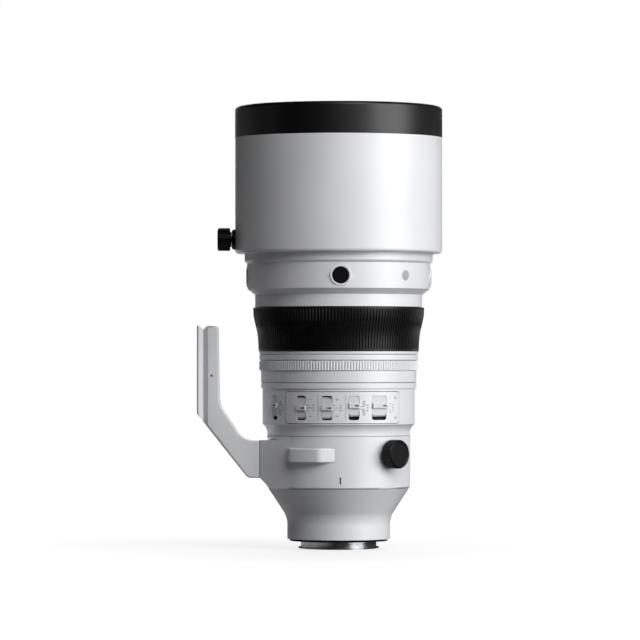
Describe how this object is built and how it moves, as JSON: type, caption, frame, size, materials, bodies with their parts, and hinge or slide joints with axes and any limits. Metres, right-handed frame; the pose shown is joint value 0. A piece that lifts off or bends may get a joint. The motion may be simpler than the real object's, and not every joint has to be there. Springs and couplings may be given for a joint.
{
  "type": "telephoto lens",
  "caption": "White fast telephoto lens with a deep hood, ribbed focus ring, control ring, switch panel, bayonet mount and a turning tripod collar with an L-shaped foot.",
  "frame": {"origin": "centre of the mount's flange face, on the optical axis", "axes": "+Z along the optical axis to the front of the lens, the tripod foot points to -X, the switch panel faces -Y"},
  "size_m": [0.1549, 0.131, 0.279],
  "materials": {
    "mount_steel": "bright plated",
    "screw_steel": "bare",
    "gasket_rubber": "smooth",
    "grip_rubber": "matt",
    "contact_block": "moulded",
    "contact_gold": "gold plated",
    "white_paint": "satin white paint",
    "seat_ring_paint": "satin white paint",
    "panel_paint": "satin white paint",
    "bare_aluminium": "machined",
    "black_anodised": "black anodised",
    "front_glass": "coated",
    "inner_glass": "coated",
    "board": "solder mask",
    "black_plastic": "fine texture",
    "slider_plastic": "satin",
    "cap_plastic": "satin",
    "pad_plastic": "smooth",
    "flocking": "flocked",
    "blade_steel": "blackened"
  },
  "bodies": {
    "barrel": {"mount_plate": "mount_steel", "mount_screws": "screw_steel", "mount_gasket": "gasket_rubber", "contact_block": "contact_block", "contact_pins": "contact_gold", "rear_barrel": "white_paint", "main_board": "board", "inner_tube": "bare_aluminium", "front_tube": "bare_aluminium", "switch_barrel": "white_paint", "switch_panel": "panel_paint", "panel_screws": "screw_steel", "spacer_ring": "white_paint", "front_barrel": "white_paint", "blanking_cap": "cap_plastic", "hood_seat_ring": "seat_ring_paint", "filter_ring": "black_anodised", "front_cell": "black_anodised", "front_lenses": "front_glass", "rear_cell": "black_anodised", "rear_lenses": "inner_glass", "guide_rods": "screw_steel", "iris_base": "black_anodised", "stabiliser_base": "black_anodised"},
    "focus_ring": {"focus_sleeve": "white_paint", "focus_rubber": "grip_rubber"},
    "control_ring": {"control_ring": "white_paint"},
    "collar": {"tripod_collar": "white_paint", "foot": "white_paint", "foot_screws": "screw_steel", "strap_bars": "white_paint"},
    "collar_knob": {"collar_knob": "black_plastic"},
    "collar_pad": {"collar_clamp_pad": "pad_plastic"},
    "hood": {"hood_shell": "white_paint", "hood_rubber": "grip_rubber", "hood_liner": "flocking"},
    "hood_knob": {"hood_knob": "black_plastic"},
    "hood_pad": {"hood_clamp_pad": "pad_plastic"},
    "focus_group": {"focus_cell": "black_anodised", "focus_lens": "inner_glass"},
    "stabiliser_frame": {"stabiliser_frame": "black_anodised"},
    "stabiliser_cell": {"stabiliser_cell": "black_anodised", "stabiliser_lens": "inner_glass"},
    "iris_ring": {"iris_ring": "black_anodised"},
    "button_front": {"button_front": "black_plastic"},
    "button_right": {"button_right": "black_plastic"},
    "button_back": {"button_back": "black_plastic"},
    "button_left": {"button_left": "black_plastic"},
    "slider_lone": {"slider_lone": "slider_plastic"},
    "slider_first": {"slider_first": "slider_plastic"},
    "slider_second": {"slider_second": "slider_plastic"},
    "slider_third": {"slider_third": "slider_plastic"},
    "slider_wide": {"slider_wide": "slider_plastic"},
    "iris_blade_1": {"iris_blade_1": "blade_steel"},
    "iris_blade_2": {"iris_blade_2": "blade_steel"},
    "iris_blade_3": {"iris_blade_3": "blade_steel"},
    "iris_blade_4": {"iris_blade_4": "blade_steel"},
    "iris_blade_5": {"iris_blade_5": "blade_steel"},
    "iris_blade_6": {"iris_blade_6": "blade_steel"},
    "iris_blade_7": {"iris_blade_7": "blade_steel"}
  },
  "joints": [
    {"name": "focus_ring_turn", "type": "hinge", "parent": "barrel", "child": "focus_ring", "pos_m": [0, 0, 0.1325], "axis": [0, 0, 1], "continuous": true},
    {"name": "control_ring_turn", "type": "hinge", "parent": "barrel", "child": "control_ring", "pos_m": [0, 0, 0.1068], "axis": [0, 0, 1], "continuous": true},
    {"name": "collar_turn", "type": "hinge", "parent": "barrel", "child": "collar", "pos_m": [0, 0, 0.05], "axis": [0, 0, 1], "continuous": true},
    {"name": "collar_knob_turn", "type": "hinge", "parent": "collar", "child": "collar_knob", "pos_m": [0.03423, -0.03645, 0.0553], "axis": [0.6845, -0.729, 0], "range_deg": [0, 540]},
    {"name": "collar_pad_lift", "type": "slide", "parent": "collar", "child": "collar_pad", "axis": [0.6845, -0.729, 0], "range_m": [0, 0.0012]},
    {"name": "hood_slide", "type": "slide", "parent": "barrel", "child": "hood", "axis": [0, 0, 1], "range_m": [0, 0.0158]},
    {"name": "hood_knob_turn", "type": "hinge", "parent": "hood", "child": "hood_knob", "pos_m": [-0.07, 0, 0.1902], "axis": [-1, 0, 0], "range_deg": [0, 540]},
    {"name": "hood_pad_lift", "type": "slide", "parent": "hood", "child": "hood_pad", "axis": [-1, 0, 0], "range_m": [0, 0.0008]},
    {"name": "focus_group_slide", "type": "slide", "parent": "barrel", "child": "focus_group", "axis": [0, 0, 1], "range_m": [0, 0.022]},
    {"name": "stabiliser_shift_x", "type": "slide", "parent": "barrel", "child": "stabiliser_frame", "axis": [1, 0, 0], "range_m": [-0.001, 0.001]},
    {"name": "stabiliser_shift_y", "type": "slide", "parent": "stabiliser_frame", "child": "stabiliser_cell", "axis": [0, 1, 0], "range_m": [-0.001, 0.001]},
    {"name": "iris_ring_turn", "type": "hinge", "parent": "barrel", "child": "iris_ring", "pos_m": [0, 0, 0.102], "axis": [0, 0, 1], "range_deg": [0, 26]},
    {"name": "button_front_press", "type": "slide", "parent": "barrel", "child": "button_front", "axis": [0, 1, 0], "range_m": [0, 0.0006], "stiffness_N_per_m": 900, "springref_m": -0.001},
    {"name": "button_right_press", "type": "slide", "parent": "barrel", "child": "button_right", "axis": [-1, 0, 0], "range_m": [0, 0.0006], "stiffness_N_per_m": 900, "springref_m": -0.001},
    {"name": "button_back_press", "type": "slide", "parent": "barrel", "child": "button_back", "axis": [0, -1, 0], "range_m": [0, 0.0006], "stiffness_N_per_m": 900, "springref_m": -0.001},
    {"name": "button_left_press", "type": "slide", "parent": "barrel", "child": "button_left", "axis": [1, 0, 0], "range_m": [0, 0.0006], "stiffness_N_per_m": 900, "springref_m": -0.001},
    {"name": "slider_lone_slide", "type": "slide", "parent": "barrel", "child": "slider_lone", "axis": [0, 0, 1], "range_m": [-0.0028, 0]},
    {"name": "slider_first_slide", "type": "slide", "parent": "barrel", "child": "slider_first", "axis": [0, 0, 1], "range_m": [-0.0014, 0.0014]},
    {"name": "slider_second_slide", "type": "slide", "parent": "barrel", "child": "slider_second", "axis": [0, 0, 1], "range_m": [-0.0014, 0.0014]},
    {"name": "slider_third_slide", "type": "slide", "parent": "barrel", "child": "slider_third", "axis": [0, 0, 1], "range_m": [-0.0028, 0]},
    {"name": "slider_wide_slide", "type": "slide", "parent": "barrel", "child": "slider_wide", "axis": [0, 0, 1], "range_m": [-0.0028, 0]},
    {"name": "iris_blade_1_turn", "type": "hinge", "parent": "barrel", "child": "iris_blade_1", "pos_m": [0.0385, 0, 0.099], "axis": [0, 0, 1], "range_deg": [0, 32.05]},
    {"name": "iris_blade_2_turn", "type": "hinge", "parent": "barrel", "child": "iris_blade_2", "pos_m": [0.024, 0.0301, 0.099], "axis": [0, 0, 1], "range_deg": [0, 32.05]},
    {"name": "iris_blade_3_turn", "type": "hinge", "parent": "barrel", "child": "iris_blade_3", "pos_m": [-0.00857, 0.03753, 0.099], "axis": [0, 0, 1], "range_deg": [0, 32.05]},
    {"name": "iris_blade_4_turn", "type": "hinge", "parent": "barrel", "child": "iris_blade_4", "pos_m": [-0.03469, 0.0167, 0.099], "axis": [0, 0, 1], "range_deg": [0, 32.05]},
    {"name": "iris_blade_5_turn", "type": "hinge", "parent": "barrel", "child": "iris_blade_5", "pos_m": [-0.03469, -0.0167, 0.099], "axis": [0, 0, 1], "range_deg": [0, 32.05]},
    {"name": "iris_blade_6_turn", "type": "hinge", "parent": "barrel", "child": "iris_blade_6", "pos_m": [-0.00857, -0.03753, 0.099], "axis": [0, 0, 1], "range_deg": [0, 32.05]},
    {"name": "iris_blade_7_turn", "type": "hinge", "parent": "barrel", "child": "iris_blade_7", "pos_m": [0.024, -0.0301, 0.099], "axis": [0, 0, 1], "range_deg": [0, 32.05]}
  ],
  "couplings": [
    {"joint": "collar_pad_lift", "follows": "collar_knob_turn", "m_per_rad": 0.00012731},
    {"joint": "hood_pad_lift", "follows": "hood_knob_turn", "m_per_rad": 0.000084874},
    {"joint": "iris_blade_1_turn", "follows": "iris_ring_turn", "ratio": 1.2308},
    {"joint": "iris_blade_2_turn", "follows": "iris_ring_turn", "ratio": 1.2308},
    {"joint": "iris_blade_3_turn", "follows": "iris_ring_turn", "ratio": 1.2308},
    {"joint": "iris_blade_4_turn", "follows": "iris_ring_turn", "ratio": 1.2308},
    {"joint": "iris_blade_5_turn", "follows": "iris_ring_turn", "ratio": 1.2308},
    {"joint": "iris_blade_6_turn", "follows": "iris_ring_turn", "ratio": 1.2308},
    {"joint": "iris_blade_7_turn", "follows": "iris_ring_turn", "ratio": 1.2308}
  ]
}
